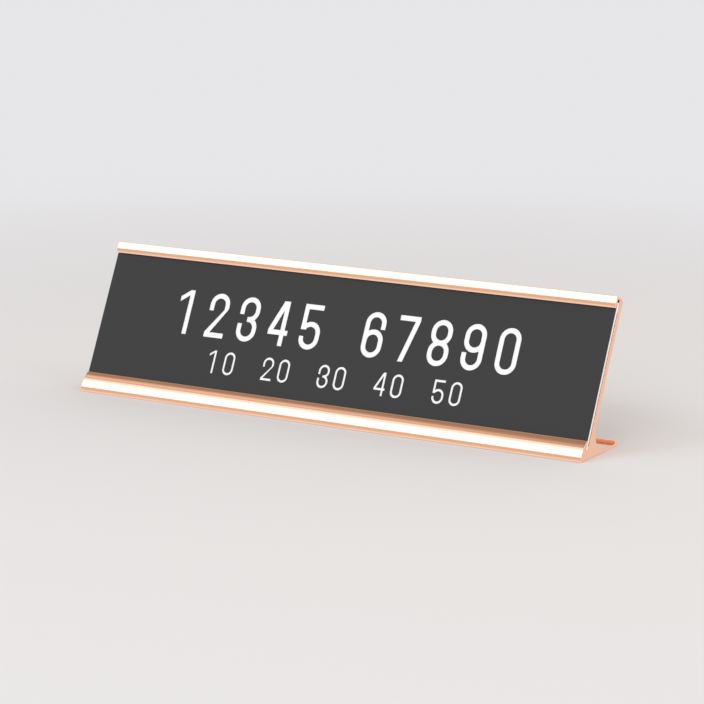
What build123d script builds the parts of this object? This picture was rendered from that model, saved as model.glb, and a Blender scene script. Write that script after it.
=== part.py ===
from build123d import *

import math
import os

# Desk name plate: a leaning extruded holder, a two-layer insert that slides in it, and grip pads below.
# Sizes are in millimetres and angles in degrees. X runs along the plate, Y to the back and Z up.
# The holder's section is drawn with y counted back from its toe and z up from its underside.

# Insert: a white core with a dark face layer
HOLDER_LENGTH = 254.0
INSERT_HEIGHT = 63.5
CORE_THICKNESS = 1.4
FACE_THICKNESS = 0.2

# Room for the insert in its two channels
END_INSET = 0.1
SIDE_PLAY = 0.15
SEAT_GAP = 0.1
HEADROOM = 1.2
CHANNEL_ROUND = 0.25

# Leaning panel, which rises from the rear bottom corner of the lower channel. The insert rests on a rib
# along the foot of the panel and one along its top, and the panel is set back between them.
LEAN_ANGLE = 25.65
PANEL_THICKNESS = 2.5
RECESS_DEPTH = 0.5
RECESS_ROUND = 0.25
LOWER_RIB_HEIGHT = 1.95
UPPER_RIB_OVERLAP = 4.25
CHANNEL_SETBACK = 6.0
CHANNEL_FLOOR_HEIGHT = 3.6

# Front rail, from its toe up the sloping face over the crest to the lip against the insert
TOE_HEIGHT = 1.65
TOE_ROUND = 5.0
RAIL_LEAN = 33.7
CREST_ROUND = 12.0
LIP_TOP_SLOPE = 30.0
LIP_DEPTH = 4.3
LIP_EDGE_ROUND = 0.2

# Hook along the top, over the insert's upper edge, tapering to a thin tip
HOOK_WALL = 1.35
HOOK_OVERLAP = 2.85
HOOK_ROOF = 1.05
HOOK_NOSE_ROUND = 0.3
HOOK_TAPER_HEIGHT = 1.5
HOOK_TAPER_ROUND = 5.0
HOOK_TIP_THICKNESS = 0.8
HOOK_TIP_ROUND = 0.6
HOOK_BACK_ROUND = 1.2

# Base, with an upturned lip at the back whose front face slopes up from the base
BASE_DEPTH = 33.5
BASE_THICKNESS = 1.2
REAR_LIP_HEIGHT = 2.4
REAR_LIP_THICKNESS = 1.0
REAR_LIP_SLOPE = 30.0
REAR_LIP_ROUND = 0.45
FLOOR_FILLET = 0.2
FOOT_FILLET = 8.5
UNDERSIDE_ROUND = 0.35

# Thin grip pads stuck under the base
PAD_DIAMETER = 8.0
PAD_THICKNESS = 0.2
PAD_FRONT_INSET = 10.5
PAD_REAR_INSET = 9.5
PAD_END_INSET = 18.0

# Rounds take at most this share of the straight stretch between two corners
ROUND_SHARE = 0.98

INSERT_LENGTH = HOLDER_LENGTH - 2 * END_INSET
CHANNEL_WIDTH = CORE_THICKNESS + FACE_THICKNESS + 2 * SIDE_PLAY
INSERT_TOP = SEAT_GAP + INSERT_HEIGHT
CHANNEL_TOP = INSERT_TOP + HEADROOM
RECESS_TOP = INSERT_TOP - UPPER_RIB_OVERLAP
PANEL_BACK = -RECESS_DEPTH - PANEL_THICKNESS
HOOK_FRONT = CHANNEL_WIDTH + HOOK_WALL
HOOK_LIP_END = INSERT_TOP - HOOK_OVERLAP
HOOK_TAPER_TOP = HOOK_LIP_END + HOOK_TAPER_HEIGHT
HOOK_TIP_FRONT = CHANNEL_WIDTH + HOOK_TIP_THICKNESS
HOOK_TOP = CHANNEL_TOP + HOOK_ROOF
REAR_LIP_FRONT = BASE_DEPTH - REAR_LIP_THICKNESS


def heading(angle):
    """Direction in the section that leans back from upright by an angle."""
    return Vector(math.sin(math.radians(angle)), math.cos(math.radians(angle)))


PANEL_UP = heading(LEAN_ANGLE)
PANEL_OUT = heading(LEAN_ANGLE - 90)
CHANNEL_CORNER = Vector(CHANNEL_SETBACK, CHANNEL_FLOOR_HEIGHT)


def on_panel(out, up):
    """Point of the section, out from the front of the panel's ribs and up from the channel floor."""
    return CHANNEL_CORNER + PANEL_OUT * out + PANEL_UP * up


def meet(start, direction, other_start, other_direction):
    """Point where two lines of the section cross."""
    gap = other_start - start
    across = direction.X * other_direction.Y - direction.Y * other_direction.X
    return start + direction * ((gap.X * other_direction.Y - gap.Y * other_direction.X) / across)


def holder_corners():
    """Corners of the holder's section in order round it, each with the radius wanted there."""
    toe = Vector(0, TOE_HEIGHT)
    lip_edge = on_panel(CHANNEL_WIDTH, LIP_DEPTH)
    crest = meet(toe, heading(RAIL_LEAN), lip_edge, heading(90 - LIP_TOP_SLOPE))
    floor_level = Vector(0, BASE_THICKNESS)
    foot = meet(on_panel(PANEL_BACK, 0), PANEL_UP, floor_level, heading(90))
    rear_lip = Vector(REAR_LIP_FRONT, REAR_LIP_HEIGHT)
    rear_lip_foot = meet(rear_lip, heading(REAR_LIP_SLOPE), floor_level, heading(90))
    return [
        (Vector(0, 0), UNDERSIDE_ROUND),
        (Vector(BASE_DEPTH, 0), UNDERSIDE_ROUND),
        (Vector(BASE_DEPTH, REAR_LIP_HEIGHT), REAR_LIP_ROUND),
        (rear_lip, REAR_LIP_ROUND),
        (rear_lip_foot, FLOOR_FILLET),
        (foot, FOOT_FILLET),
        (on_panel(PANEL_BACK, HOOK_TOP), HOOK_BACK_ROUND),
        (on_panel(HOOK_FRONT, HOOK_TOP), HOOK_NOSE_ROUND),
        (on_panel(HOOK_FRONT, HOOK_TAPER_TOP), HOOK_TAPER_ROUND),
        (on_panel(HOOK_TIP_FRONT, HOOK_LIP_END), HOOK_TIP_ROUND),
        (on_panel(CHANNEL_WIDTH, HOOK_LIP_END), LIP_EDGE_ROUND),
        (on_panel(CHANNEL_WIDTH, CHANNEL_TOP), CHANNEL_ROUND),
        (on_panel(0, CHANNEL_TOP), CHANNEL_ROUND),
        (on_panel(0, RECESS_TOP), RECESS_ROUND),
        (on_panel(-RECESS_DEPTH, RECESS_TOP), RECESS_ROUND),
        (on_panel(-RECESS_DEPTH, LOWER_RIB_HEIGHT), RECESS_ROUND),
        (on_panel(0, LOWER_RIB_HEIGHT), RECESS_ROUND),
        (on_panel(0, 0), CHANNEL_ROUND),
        (on_panel(CHANNEL_WIDTH, 0), CHANNEL_ROUND),
        (lip_edge, LIP_EDGE_ROUND),
        (crest, CREST_ROUND),
        (toe, TOE_ROUND),
    ]


def limited_radii(corners):
    """Radii of the corners, each limited so that the rounds at both ends of a stretch fit into it."""
    count = len(corners)
    points = [point for point, _ in corners]
    edges = [points[(i + 1) % count] - points[i] for i in range(count)]
    turns = [math.radians(edges[i - 1].get_angle(edges[i])) for i in range(count)]
    reaches = [wanted * math.tan(turn / 2) for (_, wanted), turn in zip(corners, turns)]
    shares = []
    for i in range(count):
        needed = reaches[i] + reaches[(i + 1) % count]
        room = ROUND_SHARE * edges[i].length
        shares.append(min(1, room / needed) if needed else 1)
    return [wanted * min(shares[i - 1], shares[i]) for i, (_, wanted) in enumerate(corners)]


def holder_section():
    """Section of the extrusion: rail, panel, hook, base and rear lip in one outline."""
    corners = holder_corners()
    points = [point for point, _ in corners]
    return make_face(FilletPolyline(*points, radius=limited_radii(corners), close=True))


def insert_section(inner, thickness):
    """Section of one layer of the insert, from its distance out from the panel's ribs."""
    outer = inner + thickness
    return make_face(
        Polyline(
            on_panel(inner, SEAT_GAP),
            on_panel(outer, SEAT_GAP),
            on_panel(outer, INSERT_TOP),
            on_panel(inner, INSERT_TOP),
            close=True,
        )
    )


def along_length(section, length):
    """Solid of a section carried along X, half of it to each side of the middle."""
    return extrude(Plane.YZ * section, amount=length / 2, both=True)


def grip_pad(x, y):
    """Thin rubber disc against the underside of the base."""
    below = (Align.CENTER, Align.CENTER, Align.MAX)
    return Pos(x, y, 0) * Cylinder(PAD_DIAMETER / 2, PAD_THICKNESS, align=below)


def grip_pads():
    """Four pads, one near each corner of the base, by node name."""
    side = HOLDER_LENGTH / 2 - PAD_END_INSET
    rows = {"front": PAD_FRONT_INSET, "rear": BASE_DEPTH - PAD_REAR_INSET}
    sides = {"left": -side, "right": side}
    return {
        f"grip_pad_{row}_{hand}": grip_pad(x, y)
        for row, y in rows.items()
        for hand, x in sides.items()
    }


def build():
    """All pieces by node name, with the origin under the middle of the whole part, at desk level."""
    section = holder_section()
    pieces = {
        "holder": along_length(section, HOLDER_LENGTH),
        "insert_core": along_length(insert_section(SIDE_PLAY, CORE_THICKNESS), INSERT_LENGTH),
        "insert_face": along_length(
            insert_section(SIDE_PLAY + CORE_THICKNESS, FACE_THICKNESS), INSERT_LENGTH
        ),
    }
    pieces.update(grip_pads())
    middle = section.bounding_box().center().X
    return {name: Pos(0, -middle, PAD_THICKNESS) * piece for name, piece in pieces.items()}


os.makedirs("parts", exist_ok=True)
for node, solid in build().items():
    export_step(solid, f"parts/{node}.step")
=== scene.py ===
"""Desk name plate: the looks of the extruded holder, its engraved insert and the grip pads."""

import logging
import math
from dataclasses import dataclass
from enum import Enum

import bpy
import numpy as np
from bpy.types import Material, Node, NodeSocket, NodeTree, Object
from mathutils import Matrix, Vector


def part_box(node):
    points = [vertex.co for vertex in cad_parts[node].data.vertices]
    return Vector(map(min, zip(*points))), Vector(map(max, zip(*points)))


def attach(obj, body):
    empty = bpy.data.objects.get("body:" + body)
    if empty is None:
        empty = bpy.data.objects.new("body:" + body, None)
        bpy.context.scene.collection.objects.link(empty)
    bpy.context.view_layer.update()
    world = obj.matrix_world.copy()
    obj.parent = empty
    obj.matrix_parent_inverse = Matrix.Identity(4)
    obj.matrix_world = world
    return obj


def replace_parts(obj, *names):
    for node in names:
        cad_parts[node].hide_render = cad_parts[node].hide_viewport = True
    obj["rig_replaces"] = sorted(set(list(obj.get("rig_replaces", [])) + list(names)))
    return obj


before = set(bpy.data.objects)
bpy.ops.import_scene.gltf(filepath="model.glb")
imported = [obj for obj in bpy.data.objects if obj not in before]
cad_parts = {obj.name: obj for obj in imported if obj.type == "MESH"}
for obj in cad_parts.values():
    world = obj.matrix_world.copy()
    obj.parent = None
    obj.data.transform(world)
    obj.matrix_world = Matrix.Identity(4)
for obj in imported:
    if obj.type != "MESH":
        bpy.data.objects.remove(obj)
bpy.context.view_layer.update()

MM = 0.001
HOLDER_BODY = "holder_body"
INSERT_BODY = "insert_body"

# Rounds take at most this share of a straight stretch, and a support point one part in so many of the rest
ROUND_SHARE = 0.98
SUPPORT_PARTS = 3

# Fractal noise: levels for fine marks and for clouds, strength of each finer level, and the middle value
FINE_DETAIL = 2.0
CLOUD_DETAIL = 3.0
NOISE_ROUGHNESS = 0.55
NOISE_MIDDLE = 0.5

# Sockets of a Mix node that carry colours, by number because those for numbers have the same names
MIX_LOW = 6
MIX_HIGH = 7
MIX_RESULT = 2

Span = tuple[float, float]
Triple = tuple[float, float, float]
Colour = Triple
Tone = Colour | NodeSocket
Pair = tuple[np.ndarray, np.ndarray]
Lines = list[np.ndarray]
Outlines = list[np.ndarray]
Faces = list[list[int]]
log = logging.getLogger("name_plate")


class Value:
    """A shader socket that Python's operators work on, each adding one Math node."""

    def __init__(self, graph: "Graph", socket: NodeSocket) -> None:
        """Wrap an output socket of a graph."""
        self.graph = graph
        self.socket = socket

    def __add__(self, other: "Value | float") -> "Value":
        """Sum."""
        return self.graph.math("ADD", self, other)

    __radd__ = __add__

    def __sub__(self, other: "Value | float") -> "Value":
        """Difference."""
        return self.graph.math("SUBTRACT", self, other)

    def __rsub__(self, other: float) -> "Value":
        """Difference from a number."""
        return self.graph.math("SUBTRACT", other, self)

    def __mul__(self, other: "Value | float") -> "Value":
        """Product."""
        return self.graph.math("MULTIPLY", self, other)

    __rmul__ = __mul__

    def centred(self) -> "Value":
        """Noise less its middle value, so that it swings about 0."""
        return self - NOISE_MIDDLE

    def step(self, low: float, high: float) -> "Value":
        """Smooth step, 0 up to the low value and 1 from the high one."""
        inputs = {"Value": self, "From Min": low, "From Max": high}
        return self.graph.value(self.graph.node("MapRange", inputs, interpolation_type="SMOOTHSTEP"))


class Graph:
    """The node tree of one material or world, filled through one method."""

    def __init__(self, tree: NodeTree) -> None:
        """Start from an empty tree."""
        self.tree = tree
        tree.nodes.clear()

    def node(self, kind: str, inputs: dict | None = None, **settings: str) -> Node:
        """Add a node.

        Args:
            kind: the node's type, without its prefix.
            inputs: values or links of its sockets, by name or number.
            settings: its properties, set before the sockets.

        Returns:
            The new node.
        """
        node = self.tree.nodes.new(f"ShaderNode{kind}")
        for name, setting in settings.items():
            setattr(node, name, setting)
        for name, value in (inputs or {}).items():
            source = value.socket if isinstance(value, Value) else value
            if isinstance(source, NodeSocket):
                self.tree.links.new(source, node.inputs[name])
            else:
                node.inputs[name].default_value = source
        return node

    def value(self, node: Node, output: str | int = 0) -> Value:
        """An output of a node as a value."""
        return Value(self, node.outputs[output])

    def math(self, operation: str, *operands: Value | float) -> Value:
        """Result of a Math node on values or plain numbers."""
        return self.value(self.node("Math", dict(enumerate(operands)), operation=operation))

    def place(self) -> NodeSocket:
        """Object coordinates, in metres from the part's origin."""
        return self.node("TexCoord").outputs["Object"]

    def stretched(self, scale: Triple, turn: Triple = (0.0, 0.0, 0.0)) -> NodeSocket:
        """Object coordinates, turned about each axis in radians and then stretched along each."""
        turned = self.node("Mapping", {"Vector": self.place(), "Rotation": turn})
        return self.node("Mapping", {"Vector": turned.outputs[0], "Scale": scale}).outputs[0]

    def noise(self, vector: NodeSocket, detail: float = FINE_DETAIL) -> Value:
        """Fractal noise between 0 and 1 at a vector that already has its scale."""
        inputs = {"Vector": vector, "Scale": 1.0, "Detail": detail, "Roughness": NOISE_ROUGHNESS}
        return self.value(self.node("TexNoise", inputs))

    def mark(self, name: str) -> Value:
        """A number that the mesh carries at each of its points."""
        return self.value(self.node("Attribute", attribute_name=name), "Fac")

    def mix(self, factor: Value, low: Tone, high: Tone) -> NodeSocket:
        """Blend two colours, each plain or linked.

        Args:
            factor: share of the second colour.
            low: colour where the factor is 0.
            high: colour where it is 1.

        Returns:
            The blend.
        """
        low, high = ((*tone, 1.0) if isinstance(tone, tuple) else tone for tone in (low, high))
        inputs = {"Factor": factor, MIX_LOW: low, MIX_HIGH: high}
        return self.node("Mix", inputs, data_type="RGBA").outputs[MIX_RESULT]

    def near_lines(self, lines: Lines, inner: float, outer: float) -> Value:
        """Nearness to lines along X.

        Args:
            lines: y and z of each line.
            inner: distance up to which the nearness is 1.
            outer: distance from which it is 0.

        Returns:
            The nearness, added up over the lines.
        """
        section = self.stretched((0.0, 1.0, 1.0))
        away = [self.node("VectorMath", {0: section, 1: (0.0, *line)}, operation="DISTANCE")
                for line in lines]
        return sum(1 - self.value(node, "Value").step(inner, outer) for node in away)

    def bump(self, height: Value, depth: float) -> NodeSocket:
        """Normal of a surface raised by a height from 0 to 1 times a depth in metres."""
        return self.node("Bump", {"Height": height, "Distance": depth}).outputs[0]

    def surface(self, inputs: dict) -> None:
        """Finish a material with a Principled shader."""
        shader = self.node("BsdfPrincipled", inputs)
        self.node("OutputMaterial", {"Surface": shader.outputs[0]})


def new_material(name: str) -> tuple[Material, Graph]:
    """Start a material.

    Args:
        name: the material's name.

    Returns:
        The empty material and its graph.
    """
    material = bpy.data.materials.new(name)
    material.use_nodes = True
    return material, Graph(material.node_tree)


@dataclass(frozen=True)
class AnodisedMetal:
    """Bright rose gold anodised aluminium, drawn along X and saw-cut at its ends."""

    colour: Colour = (0.88, 0.475, 0.29)
    smudged: Colour = (0.84, 0.45, 0.275)
    # Painted highlight: the paler tone laid along the edges where they catch the light
    paler_tone: Colour = (0.94, 0.64, 0.47)
    cut: Colour = (0.86, 0.475, 0.31)
    scored: Colour = (0.71, 0.385, 0.235)
    # Full-strength and fading widths of the painted edge highlight
    highlight_core: float = 0.45 * MM
    highlight_reach: float = 0.85 * MM
    scored_core: float = 0.1 * MM
    scored_reach: float = 0.5 * MM
    least_patch: float = 0.5
    roughness: float = 0.13
    cut_roughness: float = 0.42
    line_spread: float = 0.07
    smudge_spread: float = 0.08
    saw_spread: float = 0.2
    line_scale: Triple = (0.4, 1500.0, 1500.0)
    smudge_scale: Triple = (22.0, 40.0, 40.0)
    saw_scale: Triple = (400.0, 3200.0, 180.0)
    saw_lean: float = 0.35
    line_depth: float = 0.006 * MM
    saw_depth: float = 0.012 * MM
    coat: float = 0.6
    coat_roughness: float = 0.1
    coat_ior: float = 1.6

    def material(self, edges: Lines, scores: Lines) -> Material:
        """Die lines along X on the drawn faces, saw marks across the cut ends, and a painted highlight along
        the edges.

        Args:
            edges: y and z of the edges along X where a paler colour is painted as a highlight.
            scores: y and z of the darker lines along X that the die has left.

        Returns:
            The new material.
        """
        material, g = new_material("rose_gold_anodised")
        cut = g.mark("cut_end")
        lines = g.noise(g.stretched(self.line_scale))
        smudge = g.noise(g.stretched(self.smudge_scale), CLOUD_DETAIL)
        saw = g.noise(g.stretched(self.saw_scale, (self.saw_lean, 0.0, 0.0)))
        lined_rough = self.roughness + self.line_spread * lines.centred()
        drawn_rough = lined_rough + self.smudge_spread * smudge.centred()
        cut_rough = self.cut_roughness + self.saw_spread * saw.centred()
        patches = self.least_patch + smudge
        score = g.near_lines(scores, self.scored_core, self.scored_reach) * patches
        # Painted highlight along the edges, mottled by the smudge patches
        edge_highlight = g.near_lines(edges, self.highlight_core, self.highlight_reach) * patches
        drawn = g.mix(score, g.mix(smudge, self.colour, self.smudged), self.scored)
        height = lines * (1 - cut) * (self.line_depth / self.saw_depth) + saw * cut
        g.surface({
            "Base Color": g.mix(cut, g.mix(edge_highlight, drawn, self.paler_tone), self.cut),
            "Metallic": 1.0,
            "Roughness": drawn_rough + cut * (cut_rough - drawn_rough),
            "Normal": g.bump(height, self.saw_depth),
            "Coat Weight": self.coat,
            "Coat Roughness": self.coat_roughness,
            "Coat IOR": self.coat_ior,
        })
        return material


@dataclass(frozen=True)
class FaceLayer:
    """Satin charcoal face of the insert, with a fine moulded grain."""

    colour: Colour = (0.039, 0.039, 0.039)
    paler_tone: Colour = (0.043, 0.043, 0.043)
    roughness: float = 0.6
    cloud_spread: float = 0.12
    grain_spread: float = 0.1
    specular: float = 0.15
    grain_scale: float = 5200.0
    cloud_scale: float = 35.0
    grain_depth: float = 0.004 * MM

    def material(self) -> Material:
        """Grain raises the surface, and a faint cloud shifts its tone and sheen.

        Returns:
            The new material.
        """
        material, g = new_material("charcoal_face")
        grain = g.noise(g.stretched((self.grain_scale,) * 3))
        cloud = g.noise(g.stretched((self.cloud_scale,) * 3), CLOUD_DETAIL)
        clouded_rough = self.roughness + self.cloud_spread * cloud.centred()
        g.surface({
            "Base Color": g.mix(cloud, self.colour, self.paler_tone),
            "Roughness": clouded_rough + self.grain_spread * grain.centred(),
            "Specular IOR Level": self.specular,
            "Normal": g.bump(grain, self.grain_depth),
        })
        return material


@dataclass(frozen=True)
class WhiteCore:
    """White sheet of the insert, finely scored, and warmer in tone at its cut ends."""

    colour: Colour = (0.93, 0.92, 0.91)
    cut: Colour = (0.95, 0.90, 0.87)
    roughness: float = 0.45
    score_spread: float = 0.2
    score_scale: Triple = (900.0, 2400.0, 300.0)
    score_from: float = 0.35
    score_to: float = 0.75
    score_warmth: float = 0.4
    end_warmth: float = 0.6
    score_depth: float = 0.008 * MM

    def material(self) -> Material:
        """Fine scores raise the surface and shift its tone and sheen, and the cut ends are warmer.

        Returns:
            The new material.
        """
        material, g = new_material("white_core")
        score = g.noise(g.stretched(self.score_scale))
        scored = score.step(self.score_from, self.score_to)
        warm = self.score_warmth * scored + self.end_warmth * g.mark("cut_end")
        g.surface({
            "Base Color": g.mix(warm, self.colour, self.cut),
            "Roughness": self.roughness + self.score_spread * score.centred(),
            "Normal": g.bump(score, self.score_depth),
        })
        return material


@dataclass(frozen=True)
class GripRubber:
    """Matt black rubber with a pebbled skin."""

    colour: Colour = (0.028, 0.028, 0.029)
    dusty: Colour = (0.05, 0.049, 0.047)
    roughness: float = 0.8
    dust_spread: float = 0.2
    pebble_scale: float = 2600.0
    dust_scale: float = 700.0
    dust_from: float = 0.45
    dust_to: float = 0.8
    pebble_depth: float = 0.03 * MM

    def material(self) -> Material:
        """Pebbles raise the surface, and dust pales patches of it.

        Returns:
            The new material.
        """
        material, g = new_material("grip_rubber")
        pebble = g.noise(g.stretched((self.pebble_scale,) * 3))
        dust = g.noise(g.stretched((self.dust_scale,) * 3), CLOUD_DETAIL)
        g.surface({
            "Base Color": g.mix(dust.step(self.dust_from, self.dust_to), self.colour, self.dusty),
            "Roughness": self.roughness + self.dust_spread * dust.centred(),
            "Normal": g.bump(pebble, self.pebble_depth),
        })
        return material


@dataclass(frozen=True)
class PaleFloor:
    """Plain pale floor that fades into an even backdrop away from the part."""

    colour: Colour = (0.77, 0.745, 0.73)
    backdrop: Colour = (0.80, 0.79, 0.81)
    mirrored: Colour = (1.0, 0.98, 0.96)
    mirrored_share: float = 0.95
    fade_from: float = 0.22
    fade_to: float = 0.75

    def material(self) -> Material:
        """Matt near the part, where it takes the shadow, and even light beyond for rays that see it.

        Returns:
            The new material.
        """
        material, g = new_material("pale_floor")
        distance = g.node("VectorMath", {0: g.place()}, operation="LENGTH")
        path = g.node("LightPath")
        mirror = g.value(path, "Is Glossy Ray") + g.value(path, "Is Transmission Ray")
        far = g.value(distance, "Value").step(self.fade_from, self.fade_to)
        share = g.value(path, "Is Camera Ray") * far + mirror * self.mirrored_share
        matt = g.node("BsdfDiffuse", {"Color": (*self.colour, 1.0)})
        even = g.node("Emission", {"Color": g.mix(mirror, self.backdrop, self.mirrored)})
        both = g.node("MixShader", {0: share, 1: matt.outputs[0], 2: even.outputs[0]})
        g.node("OutputMaterial", {"Surface": both.outputs[0]})
        return material


def heading(degrees: float) -> np.ndarray:
    """Direction in the section, back and up, that leans back from upright by an angle."""
    angle = math.radians(degrees)
    return np.array([math.sin(angle), math.cos(angle)])


def meet(start: np.ndarray, along: np.ndarray, other: np.ndarray, other_along: np.ndarray) -> np.ndarray:
    """Point where two lines of the section cross."""
    return start + along * np.linalg.solve(np.column_stack([along, -other_along]), other - start)[0]


def rounded_outline(corners: np.ndarray, radii: np.ndarray, steps: int, support: float) -> Pair:
    """Round the corners of a closed outline that runs with its inside on the left.

    At a corner that turns by t, the arc is start - r n(0) + r n(s t) for s from 0 to 1, where n is the
    outward normal and r is negative where the outline turns right. Radii shrink where two arcs would
    meet on one stretch. A support point on the straight stretch at each end of the arc keeps that
    stretch flat under smooth shading.

    Args:
        corners: points of the outline, one a row.
        radii: radius at each corner.
        steps: points in each arc.
        support: distance of the support points from their arcs.

    Returns:
        The outline's points and its outward normals.
    """
    stretch = corners - np.roll(corners, 1, axis=0)
    length = np.linalg.norm(stretch, axis=1)
    before = stretch / length[:, None]
    after = np.roll(before, -1, axis=0)
    turn = np.arctan2(before[:, 0] * after[:, 1] - before[:, 1] * after[:, 0], (before * after).sum(1))
    half_tan = np.tan(np.abs(turn) / 2)
    share = np.minimum(1, ROUND_SHARE * length / (radii * half_tan + np.roll(radii * half_tan, 1)))
    radii = radii * np.minimum(share, np.roll(share, -1))
    reach = radii * half_tan
    gap = length - reach - np.roll(reach, 1)
    angle = np.arctan2(-before[:, 0], before[:, 1])[:, None] + turn[:, None] * np.linspace(0, 1, steps)
    normal = np.stack([np.cos(angle), np.sin(angle)], axis=-1)
    signed = (radii * np.sign(turn))[:, None, None]
    start = corners - before * reach[:, None]
    bend = start[:, None] + signed * (normal - normal[:, :1])
    lead = start - before * np.minimum(support, gap / SUPPORT_PARTS)[:, None]
    trail = corners + after * (reach + np.minimum(support, np.roll(gap, -1) / SUPPORT_PARTS))[:, None]
    points = np.concatenate([lead[:, None], bend, trail[:, None]], axis=1).reshape(-1, 2)
    normals = np.concatenate([normal[:, :1], normal, normal[:, -1:]], axis=1).reshape(-1, 2)
    return points, normals


def put_mesh(name: str, points: np.ndarray, faces: Faces, smooth: bool) -> Object:
    """Put a mesh into the scene, on an object at the origin.

    Args:
        name: name of the object and its mesh.
        points: points of the mesh, one a row.
        faces: corner numbers of each face, in order round its outside.
        smooth: whether the faces are shaded as one smooth surface.

    Returns:
        The new object.
    """
    mesh = bpy.data.meshes.new(name)
    mesh.from_pydata(points.tolist(), [], faces)
    mesh.polygons.foreach_set("use_smooth", np.full(len(mesh.polygons), smooth))
    mesh.validate()
    mesh.update()
    piece = bpy.data.objects.new(name, mesh)
    bpy.context.scene.collection.objects.link(piece)
    return piece


def grid_faces(rows: int, columns: int) -> np.ndarray:
    """Quads between the rows of a grid whose columns close into a ring.

    Args:
        rows: rows of the grid.
        columns: points in each row.

    Returns:
        Corner numbers of the quads, one quad a row.
    """
    row, column = np.meshgrid(np.arange(rows - 1), np.arange(columns), indexing="ij")
    across = (column + 1) % columns
    quads = np.stack([row * columns + column, row * columns + across,
                      (row + 1) * columns + across, (row + 1) * columns + column], axis=-1)
    return quads.reshape(-1, 4)


@dataclass(frozen=True)
class CutBar:
    """A section carried along X and cut off square, with a small round where the cut meets the sides."""

    length: float
    edge: float
    edge_steps: int = 4
    stations: int = 13
    cap_margin: float = 0.03 * MM
    support: float = 0.08 * MM

    def build(self, name: str, outline: np.ndarray, normals: np.ndarray) -> Object:
        """Mesh of the bar.

        Point (i, j) is outline point i moved in by inset j along its normal, at station x j. Along most of
        the bar the inset is 0, up to a support ring that keeps the sides straight under smooth shading. At
        an end it is e (1 - cos a) while x is the half length - e + e sin a, for a from 0 to a right angle,
        and a last ring inside that carries the flat cut.

        Args:
            name: the piece's name.
            outline: points of the section, back and up.
            normals: outward normals of those points.

        Returns:
            The new piece, with the mark cut_end at 1 on its cut ends.
        """
        bend = np.linspace(0, math.pi / 2, self.edge_steps)
        half = self.length / 2
        end_x = np.append(half - self.edge + self.edge * np.sin(bend), half)
        end_inset = np.append(self.edge * (1 - np.cos(bend)), self.edge + self.cap_margin)
        straight = half - self.edge - self.support
        inner_x = np.linspace(-straight, straight, self.stations)
        x = np.concatenate([-end_x[::-1], inner_x, end_x])
        inset = np.concatenate([end_inset[::-1], np.zeros(len(inner_x)), end_inset])
        section = outline[None] - normals[None] * inset[:, None, None]
        rings, around = len(x), len(outline)
        points = np.empty((rings, around, 3))
        points[..., 0] = x[:, None]
        points[..., 1:] = section
        faces = grid_faces(rings, around).tolist()
        faces.append(list(range(around))[::-1])
        faces.append(list(range((rings - 1) * around, rings * around)))
        piece = put_mesh(name, points.reshape(-1, 3), faces, smooth=True)
        cut = np.repeat(np.clip(inset / self.edge, 0, 1), around)
        mark = piece.data.attributes.new("cut_end", "FLOAT", "POINT")
        mark.data.foreach_set("value", cut.astype(np.float32))
        return piece


@dataclass(frozen=True)
class Plan:
    """Sizes that the holder and the insert share, in metres and degrees.

    The section is drawn with y counted back from the toe and z up from the underside of the base.
    """

    holder_length: float = 254.0 * MM
    insert_height: float = 63.5 * MM
    core_thickness: float = 1.4 * MM
    face_thickness: float = 0.2 * MM
    end_inset: float = 0.1 * MM
    side_play: float = 0.15 * MM
    seat_gap: float = 0.1 * MM
    lean: float = 25.65
    channel_setback: float = 6.0 * MM
    channel_floor: float = 3.6 * MM
    lip_depth: float = 4.3 * MM
    hook_overlap: float = 2.85 * MM

    @property
    def channel_width(self) -> float:
        """Width of the channels that the insert slides in."""
        return self.core_thickness + self.face_thickness + 2 * self.side_play

    @property
    def insert_top(self) -> float:
        """Height of the insert's upper edge along the panel."""
        return self.seat_gap + self.insert_height

    def on_panel(self, out: float, up: float) -> np.ndarray:
        """Point of the section, out from the front of the panel's ribs and up from the channel floor."""
        corner = np.array([self.channel_setback, self.channel_floor])
        return corner + heading(self.lean - 90) * out + heading(self.lean) * up

    def shift(self) -> np.ndarray:
        """Move from the section's own zero to the low corner of the CAD holder's box."""
        low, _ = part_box("holder")
        return np.array([low.y, low.z])


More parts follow.
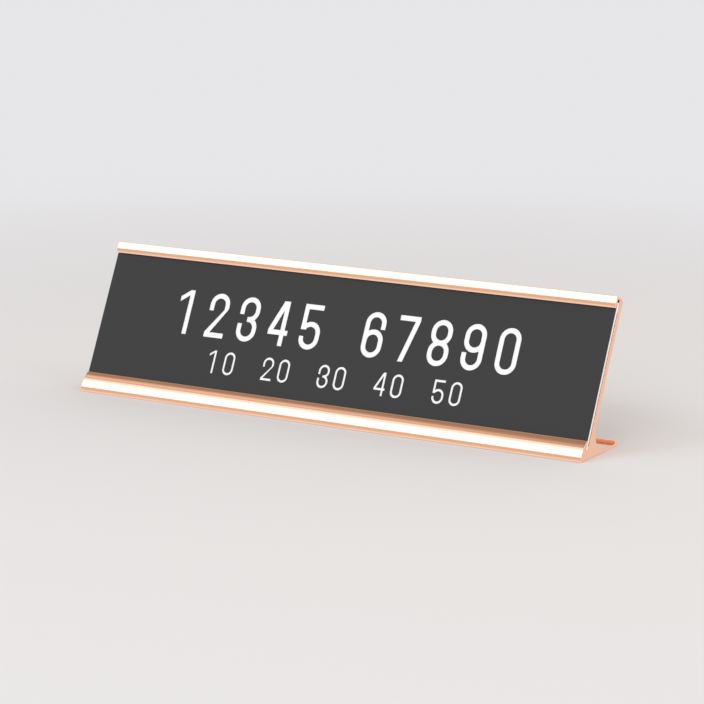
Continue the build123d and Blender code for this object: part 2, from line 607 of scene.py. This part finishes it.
@dataclass(frozen=True)
class Holder:
    """The extruded holder: front rail, leaning panel, top hook, base and rear lip in one section."""

    plan: Plan
    finish: AnodisedMetal
    panel: float = 2.5 * MM
    recess_depth: float = 0.5 * MM
    recess_round: float = 0.25 * MM
    lower_rib: float = 1.95 * MM
    upper_rib: float = 4.25 * MM
    headroom: float = 1.2 * MM
    channel_round: float = 0.25 * MM
    toe_height: float = 1.65 * MM
    toe_round: float = 5.0 * MM
    rail_lean: float = 33.7
    crest_round: float = 12.0 * MM
    lip_slope: float = 30.0
    lip_edge_round: float = 0.2 * MM
    # How far below the channel lip's edge its painted highlight lies
    lip_highlight_depth: float = 0.35 * MM
    hook_wall: float = 1.35 * MM
    hook_roof: float = 1.05 * MM
    hook_nose_round: float = 0.3 * MM
    hook_taper_height: float = 1.5 * MM
    hook_taper_round: float = 5.0 * MM
    hook_tip_thickness: float = 0.8 * MM
    hook_tip_round: float = 0.6 * MM
    hook_back_round: float = 1.2 * MM
    base_depth: float = 33.5 * MM
    base_thickness: float = 1.2 * MM
    rear_lip_height: float = 2.4 * MM
    rear_lip_thickness: float = 1.0 * MM
    rear_lip_slope: float = 30.0
    rear_lip_round: float = 0.45 * MM
    floor_fillet: float = 0.2 * MM
    foot_fillet: float = 8.5 * MM
    underside_round: float = 0.35 * MM
    cut_edge: float = 0.12 * MM
    score_tilts: tuple[float, ...] = (35.3, 42.3)
    arc_steps: int = 25
    support: float = 0.06 * MM

    def corners(self) -> Pair:
        """Corners of the section in order round it, from the foot of the rail along the underside.

        Returns:
            The corners, and the radius at each.
        """
        plan, at = self.plan, self.plan.on_panel
        toe = np.array([0.0, self.toe_height])
        width, recess = plan.channel_width, -self.recess_depth
        lip_edge = at(width, plan.lip_depth)
        crest = meet(toe, heading(self.rail_lean), lip_edge, heading(90 - self.lip_slope))
        floor_level = np.array([0.0, self.base_thickness])
        back = recess - self.panel
        foot = meet(at(back, 0.0), heading(plan.lean), floor_level, heading(90))
        lip_front = np.array([self.base_depth - self.rear_lip_thickness, self.rear_lip_height])
        hook_front = width + self.hook_wall
        tip_front = width + self.hook_tip_thickness
        hook_end = plan.insert_top - plan.hook_overlap
        recess_top = plan.insert_top - self.upper_rib
        channel_top = plan.insert_top + self.headroom
        hook_top = channel_top + self.hook_roof
        table = [
            ((0.0, 0.0), self.underside_round),
            ((self.base_depth, 0.0), self.underside_round),
            ((self.base_depth, self.rear_lip_height), self.rear_lip_round),
            (lip_front, self.rear_lip_round),
            (meet(lip_front, heading(self.rear_lip_slope), floor_level, heading(90)), self.floor_fillet),
            (foot, self.foot_fillet),
            (at(back, hook_top), self.hook_back_round),
            (at(hook_front, hook_top), self.hook_nose_round),
            (at(hook_front, hook_end + self.hook_taper_height), self.hook_taper_round),
            (at(tip_front, hook_end), self.hook_tip_round),
            (at(width, hook_end), self.lip_edge_round),
            (at(width, channel_top), self.channel_round),
            (at(0.0, channel_top), self.channel_round),
            (at(0.0, recess_top), self.recess_round),
            (at(recess, recess_top), self.recess_round),
            (at(recess, self.lower_rib), self.recess_round),
            (at(0.0, self.lower_rib), self.recess_round),
            (at(0.0, 0.0), self.channel_round),
            (at(width, 0.0), self.channel_round),
            (lip_edge, self.lip_edge_round),
            (crest, self.crest_round),
            (toe, self.toe_round),
        ]
        return np.array([point for point, _ in table]), np.array([radius for _, radius in table])

    def highlight_edges(self) -> Lines:
        """Edges along X that get a painted highlight: the rail's foot, the channel lip, the hook's tip and
        the rear lip.

        Returns:
            y and z of each edge, in the part's frame.
        """
        plan = self.plan
        rail_foot = np.zeros(2)
        channel_lip = plan.on_panel(plan.channel_width, plan.lip_depth - self.lip_highlight_depth)
        tip_front = plan.channel_width + self.hook_tip_thickness
        hook_tip = plan.on_panel(tip_front, plan.insert_top - plan.hook_overlap)
        rear_lip = np.array([self.base_depth - self.rear_lip_thickness, self.rear_lip_height])
        return [plan.shift() + edge for edge in (rail_foot, channel_lip, hook_tip, rear_lip)]

    def crest_scores(self, points: np.ndarray, normals: np.ndarray) -> Lines:
        """Find the die's lines on the rail's crest, which is the outline's last corner but one.

        A line lies where the crest's outward normal has the line's tilt above level.

        Args:
            points: points of the outline, in the part's frame.
            normals: outward normals of those points.

        Returns:
            y and z of each line.
        """
        crest, facing = (row.reshape(-1, self.arc_steps + 2, 2)[-2, ::-1] for row in (points, normals))
        tilt = np.degrees(np.arctan2(facing[:, 1], -facing[:, 0]))
        return [np.array([np.interp(score, tilt, side) for side in crest.T]) for score in self.score_tilts]

    def build(self) -> Object:
        """The holder's mesh, in place of its CAD node.

        Returns:
            The new piece.
        """
        points, normals = rounded_outline(*self.corners(), self.arc_steps, self.support)
        placed = points + self.plan.shift()
        bar = CutBar(self.plan.holder_length, self.cut_edge)
        piece = bar.build("holder_extrusion", placed, normals)
        scores = self.crest_scores(placed, normals)
        piece.data.materials.append(self.finish.material(self.highlight_edges(), scores))
        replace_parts(piece, "holder")
        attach(piece, HOLDER_BODY)
        return piece


def arc(x: float, y: float, radius: float, first: float, last: float, steps: int = 17) -> np.ndarray:
    """Points of a circular arc about (x, y), from one angle to another in degrees."""
    angle = np.radians(np.linspace(first, last, steps))
    return np.column_stack([x + radius * np.cos(angle), y + radius * np.sin(angle)])


def joined(*stretches: np.ndarray | tuple) -> np.ndarray:
    """One closed outline from points and arcs in order."""
    return np.vstack([np.atleast_2d(stretch) for stretch in stretches])


@dataclass(frozen=True)
class Numerals:
    """Plain upright numerals, drawn with one stroke width in a box of height 1.

    Each numeral is a list of outlines: the first is its own edge, and the rest are the islands left
    standing inside it. Round parts are half circles of the box's width, which stays under half the height
    and half a stroke, so that the bowls of a three or an eight don't cross. In the methods, r and i are the
    radii of a bowl's outer and inner edges, s is the stroke and w the width.
    """

    width: float
    stroke: float
    gap: float
    word_gap: float
    bowl_top: float = 0.62

    @property
    def outer(self) -> float:
        """Radius of the outer edge of a bowl."""
        return self.width / 2

    @property
    def inner(self) -> float:
        """Radius of the inner edge of a bowl."""
        return self.outer - self.stroke

    @property
    def meeting(self) -> float:
        """Angle at which the bowl of a five or a six meets the inner edge of its stem."""
        return 180 - math.degrees(math.acos(self.inner / self.outer))

    def waist(self) -> Span:
        """Top of the lower bowl, and the angle where the two bowls' outer edges cross."""
        return (1 + self.stroke) / 2, math.degrees(math.asin(1 - self.stroke / self.width))

    def loop(self, inset: float, bottom: float, top: float) -> np.ndarray:
        """Upright slot with half round ends, inset from the sides of the box."""
        middle, r = self.outer, self.outer - inset
        return joined(arc(middle, top - r, r, 180, 0), arc(middle, bottom + r, r, 0, -180))

    def zero(self) -> Outlines:
        """An upright ring."""
        return [self.loop(0.0, 0.0, 1.0), self.loop(self.stroke, self.stroke, 1 - self.stroke)]

    def one(self) -> Outlines:
        """A stem with a flag that falls to the left."""
        s, stem, flag, depth = self.stroke, 0.45 * self.width, 0.84, 1.1 * self.stroke
        return [joined((stem, 0), (stem + s, 0), (stem + s, 1), (stem, 1), (0, flag), (0, flag - depth),
                       (stem, 1 - depth))]

    def two(self) -> Outlines:
        """A round top, a slanting stroke and a flat foot.

        Returns:
            Its outline.
        """
        r, s, w = self.outer, self.stroke, self.width
        terminal, turn = 1 - 1.6 * r, 1 - 1.35 * r
        inner_turn, foot = turn - 0.2 * s, 1.25 * s
        return [joined((0, terminal), arc(r, 1 - r, r, 180, 0), (w, turn), (foot, s), (w, s), (w, 0), (0, 0),
                       (0, s), (w - s, inner_turn), arc(r, 1 - r, self.inner, 0, 180), (s, terminal))]

    def three(self) -> Outlines:
        """Two bowls open to the left, with a short bar between them.

        Returns:
            Its outline.
        """
        r, s, i = self.outer, self.stroke, self.inner
        top, cross = self.waist()
        high, low, bar = 1 - 1.6 * r, 1.6 * r, 0.85 * r
        return [joined((0, high), arc(r, 1 - r, r, 180, 0), arc(r, top - s + r, r, 0, -cross),
                       arc(r, top - r, r, cross, 0), arc(r, r, r, 0, -180), (0, low), (s, low),
                       arc(r, r, i, -180, 0), arc(r, top - r, i, 0, 90), (bar, top - s), (bar, top),
                       arc(r, top + i, i, -90, 0), arc(r, 1 - r, i, 0, 180), (s, high))]

    def four(self) -> Outlines:
        """A stem, a bar across it and a slanting stroke between them.

        Returns:
            Its outline, and the island between the strokes.
        """
        s, w = self.stroke, self.width
        stem, bar = w - 1.7 * s, 0.24
        top, start = stem - 0.35 * s, 1.15 * s
        slant = (1 - bar - s) / top
        edge = joined((top, 1), (0, bar + s), (0, bar), (stem, bar), (stem, 0), (stem + s, 0),
                      (stem + s, bar), (w, bar), (w, bar + s), (stem + s, bar + s), (stem + s, 1))
        return [edge, joined((start, bar + s), (stem, bar + s), (stem, bar + s + slant * (stem - start)))]

    def five(self) -> Outlines:
        """A flat top, a short stem and a bowl open to the left.

        Returns:
            Its outline.
        """
        r, s, i, top = self.outer, self.stroke, self.inner, self.bowl_top
        flat, low, rise = 0.95 * self.width, 1.15 * r, 0.45
        start = 180 - math.degrees(math.asin(rise))
        return [joined((0, 1), (0, top - r + rise * i), arc(r, top - r, i, start, 0), arc(r, r, i, 0, -180),
                       (s, low), (0, low), arc(r, r, r, -180, 0), arc(r, top - r, r, 0, self.meeting),
                       (s, 1 - s), (flat, 1 - s), (flat, 1))]

    def six(self) -> Outlines:
        """A ring with a stem that curls over its top.

        Returns:
            Its outline, and the island in the ring.
        """
        r, s, i, top = self.outer, self.stroke, self.inner, self.bowl_top
        terminal = 1 - 1.5 * r
        edge = joined((self.width, terminal), arc(r, 1 - r, r, 0, 180), arc(r, r, r, -180, 0),
                      arc(r, top - r, r, 0, self.meeting), arc(r, 1 - r, i, 180, 0),
                      (self.width - s, terminal))
        return [edge, self.loop(s, s, top - s)]

    def seven(self) -> Outlines:
        """A flat top and a slanting stroke."""
        s, w, foot, slant = self.stroke, self.width, 0.28 * self.width, 1.08 * self.stroke
        return [joined((0, 1), (0, 1 - s), (w - slant, 1 - s), (foot, 0), (foot + slant, 0), (w, 1 - s),
                       (w, 1))]

    def eight(self) -> Outlines:
        """Two rings, one on the other.

        Returns:
            Its outline, and the islands in the rings.
        """
        r, s = self.outer, self.stroke
        top, cross = self.waist()
        edge = joined(arc(r, top - r, r, cross, 0), arc(r, r, r, 0, -180),
                      arc(r, top - r, r, 180, 180 - cross), arc(r, top - s + r, r, 180 + cross, 180),
                      arc(r, 1 - r, r, 180, 0), arc(r, top - s + r, r, 0, -cross))
        return [edge, self.loop(s, s, top - s), self.loop(s, top, 1 - s)]

    def nine(self) -> Outlines:
        """A six turned upside down."""
        return [np.array([self.width, 1.0]) - outline for outline in self.six()]

    def row(self, words: str, height: float, middle: float) -> tuple[Outlines, Outlines]:
        """Set a row of numerals, centred about 0.

        Args:
            words: digits, with spaces between groups.
            height: height of the numerals.
            middle: height of the row's middle on the sheet.

        Returns:
            Edges of the numerals, and islands inside them.
        """
        shapes = [self.zero, self.one, self.two, self.three, self.four, self.five, self.six, self.seven,
                  self.eight, self.nine]
        edges, islands, pen = [], [], 0.0
        for sign in words:
            if sign == " ":
                pen += self.word_gap
                continue
            outlines = [outline + (pen, 0.0) for outline in shapes[int(sign)]()]
            edges.append(outlines[0])
            islands.extend(outlines[1:])
            pen += self.width + self.gap
        centre = np.array([pen - self.gap, 1.0]) / 2
        place = np.array([0.0, middle])
        return tuple([(line - centre) * height + place for line in group] for group in (edges, islands))


def filled(outlines: Outlines, thickness: float) -> tuple[np.ndarray, Faces]:
    """Fill closed outlines, leaving holes where one lies inside another, and give the sheet a thickness.

    Args:
        outlines: closed outlines in the sheet's plane, in millimetres.
        thickness: thickness of the sheet, in millimetres.

    Returns:
        Points and faces of the sheet, in millimetres.
    """
    curve = bpy.data.curves.new("sheet_outline", "CURVE")
    curve.dimensions = "2D"
    curve.fill_mode = "BOTH"
    curve.extrude = thickness / 2
    for outline in outlines:
        spline = curve.splines.new("POLY")
        spline.points.add(len(outline) - 1)
        flat = np.column_stack([outline, np.zeros(len(outline)), np.ones(len(outline))])
        spline.points.foreach_set("co", flat.ravel())
        spline.use_cyclic_u = True
    carrier = bpy.data.objects.new("sheet_outline", curve)
    mesh = bpy.data.meshes.new_from_object(carrier)
    points = np.empty(len(mesh.vertices) * 3)
    mesh.vertices.foreach_get("co", points)
    faces = [list(polygon.vertices) for polygon in mesh.polygons]
    bpy.data.objects.remove(carrier)
    bpy.data.curves.remove(curve)
    bpy.data.meshes.remove(mesh)
    return points.reshape(-1, 3), faces


class Row(Enum):
    """Rows of numerals on the insert: digits, height and middle, as shares of the height that shows."""

    UPPER = ("12345 67890", 0.3645, 0.5835)
    LOWER = ("10 20 30 40 50", 0.187, 0.209)


@dataclass(frozen=True)
class Insert:
    """The sliding insert: a white core, and a charcoal face layer engraved through to it."""

    plan: Plan
    core_finish: WhiteCore
    face_finish: FaceLayer
    tall: Numerals = Numerals(width=0.50, stroke=0.115, gap=0.30, word_gap=0.75)
    small: Numerals = Numerals(width=0.53, stroke=0.10, gap=0.26, word_gap=1.15)
    edge: float = 0.06 * MM
    edge_steps: int = 5

    @property
    def length(self) -> float:
        """Length of the sheet."""
        return self.plan.holder_length - 2 * self.plan.end_inset

    def build_core(self) -> Object:
        """The white sheet, in place of its CAD node: a thin section carried along X.

        Returns:
            The new piece.
        """
        plan, at = self.plan, self.plan.on_panel
        inner, outer = plan.side_play, plan.side_play + plan.core_thickness
        low, high = plan.seat_gap, plan.insert_top
        corners = np.array([at(inner, low), at(inner, high), at(outer, high), at(outer, low)])
        radii = np.full(len(corners), self.edge)
        points, normals = rounded_outline(corners, radii, self.edge_steps, self.edge)
        piece = CutBar(self.length, self.edge).build("insert_white_core", points + plan.shift(), normals)
        piece.data.materials.append(self.core_finish.material())
        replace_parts(piece, "insert_core")
        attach(piece, INSERT_BODY)
        return piece

    def rows(self) -> tuple[Outlines, Outlines]:
        """Both rows of numerals, across and up the sheet in metres.

        Returns:
            Edges of the numerals, and islands inside them.
        """
        plan = self.plan
        shown = plan.insert_top - plan.hook_overlap - plan.lip_depth
        edges, islands = [], []
        for row, style in ((Row.UPPER, self.tall), (Row.LOWER, self.small)):
            words, height, middle = row.value
            row_edges, row_islands = style.row(words, height * shown, plan.lip_depth + middle * shown)
            edges.extend(row_edges)
            islands.extend(row_islands)
        return edges, islands

    def build_face(self) -> Object:
        """The engraved face layer, in place of its CAD node.

        A flat sheet with the numerals cut through it, filled across and up the panel. A point (a, b, c) of
        it goes to a along X, b up the panel and c out from the layer's middle.

        Returns:
            The new piece.
        """
        plan = self.plan
        half, low, high = self.length / 2, plan.seat_gap, plan.insert_top
        border = np.array([(-half, low), (half, low), (half, high), (-half, high)])
        edges, islands = self.rows()
        thickness = plan.face_thickness / MM
        sheet, sheet_faces = filled([outline / MM for outline in (border, *edges)], thickness)
        inside, inside_faces = filled([outline / MM for outline in islands], thickness)
        points = np.concatenate([sheet, inside]) * MM
        faces = sheet_faces + [[corner + len(sheet) for corner in face] for face in inside_faces]
        middle = plan.side_play + plan.core_thickness + plan.face_thickness / 2
        section = (plan.on_panel(middle, 0.0) + plan.shift()
                   + points[:, 1:2] * heading(plan.lean) + points[:, 2:] * heading(plan.lean - 90))
        placed = np.column_stack([points[:, 0], section])
        piece = put_mesh("insert_engraved_face", placed, faces, smooth=False)
        piece.data.materials.append(self.face_finish.material())
        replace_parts(piece, "insert_face")
        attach(piece, INSERT_BODY)
        return piece


@dataclass(frozen=True)
class GripPad:
    """One rubber disc under the base, with a soft rim and a slightly hollow middle.

    The hub and the outermost rings of its two faces are given as shares of the radius.
    """

    node: str
    rim: float = 0.08 * MM
    dish: float = 0.03 * MM
    hub: float = 0.05
    top_ring: float = 0.9
    foot_ring: float = 0.97
    foot_steps: int = 8
    rim_steps: int = 5
    around: int = 64

    def build(self, finish: Material) -> Object:
        """The disc's mesh, in place of its CAD node.

        A profile of radius and height is turned about the upright through the pad's middle. It runs from
        the middle of the top face round both rims to the middle of the foot, which is hollowed a little.

        Args:
            finish: the pad's material.

        Returns:
            The new piece.
        """
        low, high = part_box(self.node)
        middle = (low + high) / 2
        radius = (high.x - low.x) / 2
        bend = np.linspace(0, math.pi / 2, self.rim_steps)
        flat = radius - self.rim
        foot = np.linspace(self.foot_ring, self.hub, self.foot_steps)
        r = np.concatenate([[self.hub * radius, self.top_ring * radius], flat + self.rim * np.sin(bend),
                            flat + self.rim * np.cos(bend), flat * foot])
        z = np.concatenate([[high.z, high.z], high.z - self.rim * (1 - np.cos(bend)),
                            low.z + self.rim * (1 - np.sin(bend)), low.z + self.dish * (1 - foot ** 2)])
        angle = np.linspace(0, 2 * math.pi, self.around, endpoint=False)
        points = np.stack([middle.x + r[:, None] * np.cos(angle), middle.y + r[:, None] * np.sin(angle),
                           np.repeat(z[:, None], self.around, axis=1)], axis=-1)
        faces = grid_faces(len(r), self.around)[:, ::-1].tolist()
        last = (len(r) - 1) * self.around
        faces.append(list(range(self.around)))
        faces.append(list(range(last, last + self.around))[::-1])
        piece = put_mesh(f"{self.node}_disc", points.reshape(-1, 3), faces, smooth=True)
        piece.data.materials.append(finish)
        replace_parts(piece, self.node)
        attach(piece, HOLDER_BODY)
        return piece


def direction(azimuth: float, elevation: float) -> Vector:
    """Unit vector from the part to a viewpoint, by degrees round from the front and above the floor."""
    a, e = math.radians(azimuth), math.radians(elevation)
    return Vector((math.sin(a) * math.cos(e), -math.cos(a) * math.cos(e), math.sin(e)))


@dataclass(frozen=True)
class Softbox:
    """A rectangular studio light aimed at the part, then slid sideways along its own width."""

    name: str
    elevation: float
    height: float
    radiance: float
    azimuth: float = 0.0
    distance: float = 1.6
    width: float = 1.2
    slide: float = 0.0
    colour: Colour = (1.0, 1.0, 1.0)

    def build(self, aim: Vector) -> None:
        """Lamp whose power gives its face the radiance asked for.

        Args:
            aim: the point that it is aimed at.
        """
        lamp = bpy.data.lights.new(self.name, "AREA")
        lamp.shape = "RECTANGLE"
        lamp.size, lamp.size_y = self.width, self.height
        lamp.energy = self.radiance * math.pi * self.width * self.height
        lamp.color = self.colour
        light = bpy.data.objects.new(self.name, lamp)
        light.visible_camera = False
        away = direction(self.azimuth, self.elevation)
        turn = (-away).to_track_quat("-Z", "Y")
        light.location = aim + away * self.distance + turn @ Vector((self.slide, 0.0, 0.0))
        light.rotation_mode = "QUATERNION"
        light.rotation_quaternion = turn
        bpy.context.scene.collection.objects.link(light)


@dataclass(frozen=True)
class Studio:
    """Floor, soft light and the camera at the photograph's viewing angle.

    The sky's spans are smooth steps on a direction's parts across, back and up, each from -1 to 1.
    """

    floor_finish: PaleFloor
    aim: Triple = (9.1 * MM, -4.52 * MM, 30.95 * MM)
    azimuth: float = 31.17
    elevation: float = 12.18
    distance: float = 1.2
    lens: float = 141.7
    sensor: float = 36.0
    floor_size: float = 12.0
    sky: Colour = (1.0, 0.99, 0.98)
    sky_light: float = 0.7
    gap_light: float = 0.8
    gap_foot: Span = (0.08, 0.2)
    gap_top: Span = (0.4, 0.55)
    band: Colour = (1.0, 0.91, 0.80)
    band_light: float = 0.42
    band_foot: Span = (0.4, 0.65)
    band_front: Span = (-0.17, 0.0)
    band_back: Span = (0.3, 0.5)
    band_right: Span = (-0.58, -0.38)
    right_stretch: float = 0.7
    right_shift: float = 0.02
    boxes: tuple[Softbox, ...] = (
        Softbox("key_softbox", elevation=43.75, height=0.521, radiance=2.7, slide=-0.95),
        Softbox("key_edge_softbox", elevation=58.5, height=0.308, radiance=1.1, slide=-0.95,
                colour=(0.25, 0.62, 1.0)),
        Softbox("key_foot_softbox", elevation=27.25, height=0.407, radiance=0.35, slide=-0.95,
                colour=(0.1, 0.5, 1.0)),
        Softbox("right_softbox", elevation=30.0, height=1.2, radiance=1.5, azimuth=105.0),
        Softbox("front_softbox", elevation=30.0, height=1.0, radiance=2.4, azimuth=10.0, distance=1.8,
                width=1.0),
    )

    def build_floor(self) -> None:
        """Plain floor at desk level."""
        half = self.floor_size / 2
        corners = np.array([(-half, -half, 0), (half, -half, 0), (half, half, 0), (-half, half, 0)])
        floor = put_mesh("floor", corners, [[0, 1, 2, 3]], smooth=False)
        floor.data.materials.append(self.floor_finish.material())

    def build_sky(self) -> None:
        """Pale surroundings, mirrored with a dim gap above the walls and a dim warm band overhead.

        Towards the right the band reaches further to the front.
        """
        world = bpy.data.worlds.new("studio")
        world.use_nodes = True
        bpy.context.scene.world = world
        g = Graph(world.node_tree)
        path = g.node("LightPath")
        camera = g.value(path, "Is Camera Ray")
        mirror = g.value(path, "Is Glossy Ray") + g.value(path, "Is Transmission Ray")
        towards = g.node("TexCoord").outputs["Generated"]
        axes = g.node("SeparateXYZ", {0: towards})
        across, back, height = (g.value(axes, axis) for axis in "XYZ")
        gap = height.step(*self.gap_foot) * (1 - height.step(*self.gap_top))
        right = across.step(*self.band_right)
        front = back * (1 - self.right_stretch * right) + self.right_shift * right
        ahead = height.step(*self.band_foot) * front.step(*self.band_front)
        overhead = ahead * (1 - back.step(*self.band_back))
        level = 1 - gap * (1 - self.gap_light) - overhead * (1 - self.band_light)
        strength = self.sky_light + mirror * (level - self.sky_light) + camera * (1 - self.sky_light)
        mirrored = g.mix(mirror * overhead, self.sky, self.band)
        colour = g.mix(camera, mirrored, self.floor_finish.backdrop)
        shade = g.node("Background", {"Color": colour, "Strength": strength})
        g.node("OutputWorld", {"Surface": shade.outputs[0]})

    def build_camera(self) -> None:
        """Camera that frames the part as the photograph does."""
        data = bpy.data.cameras.new("photo_view")
        data.lens = self.lens
        data.sensor_width = self.sensor
        camera = bpy.data.objects.new("photo_view", data)
        away = direction(self.azimuth, self.elevation)
        camera.location = Vector(self.aim) + away * self.distance
        camera.rotation_mode = "QUATERNION"
        camera.rotation_quaternion = (-away).to_track_quat("-Z", "Y")
        bpy.context.scene.collection.objects.link(camera)
        bpy.context.scene.camera = camera

    def build(self) -> None:
        """Everything around the part."""
        self.build_camera()
        self.build_floor()
        self.build_sky()
        for box in self.boxes:
            box.build(Vector(self.aim))
        bpy.context.scene.view_settings.view_transform = "Standard"


def main() -> None:
    """Build the studio and every piece, and report them."""
    logging.basicConfig(level=logging.INFO, format="%(name)s: %(message)s")
    Studio(PaleFloor()).build()
    plan = Plan()
    insert = Insert(plan, WhiteCore(), FaceLayer())
    pieces = [Holder(plan, AnodisedMetal()).build(), insert.build_core(), insert.build_face()]
    rubber = GripRubber().material()
    pads = sorted(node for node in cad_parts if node.startswith("grip_pad"))
    pieces.extend(GripPad(node).build(rubber) for node in pads)
    for piece in pieces:
        replaced = list(piece["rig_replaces"])
        log.info("%s: %d points, replaces %s", piece.name, len(piece.data.vertices), replaced)


if __name__ == "__main__":
    main()
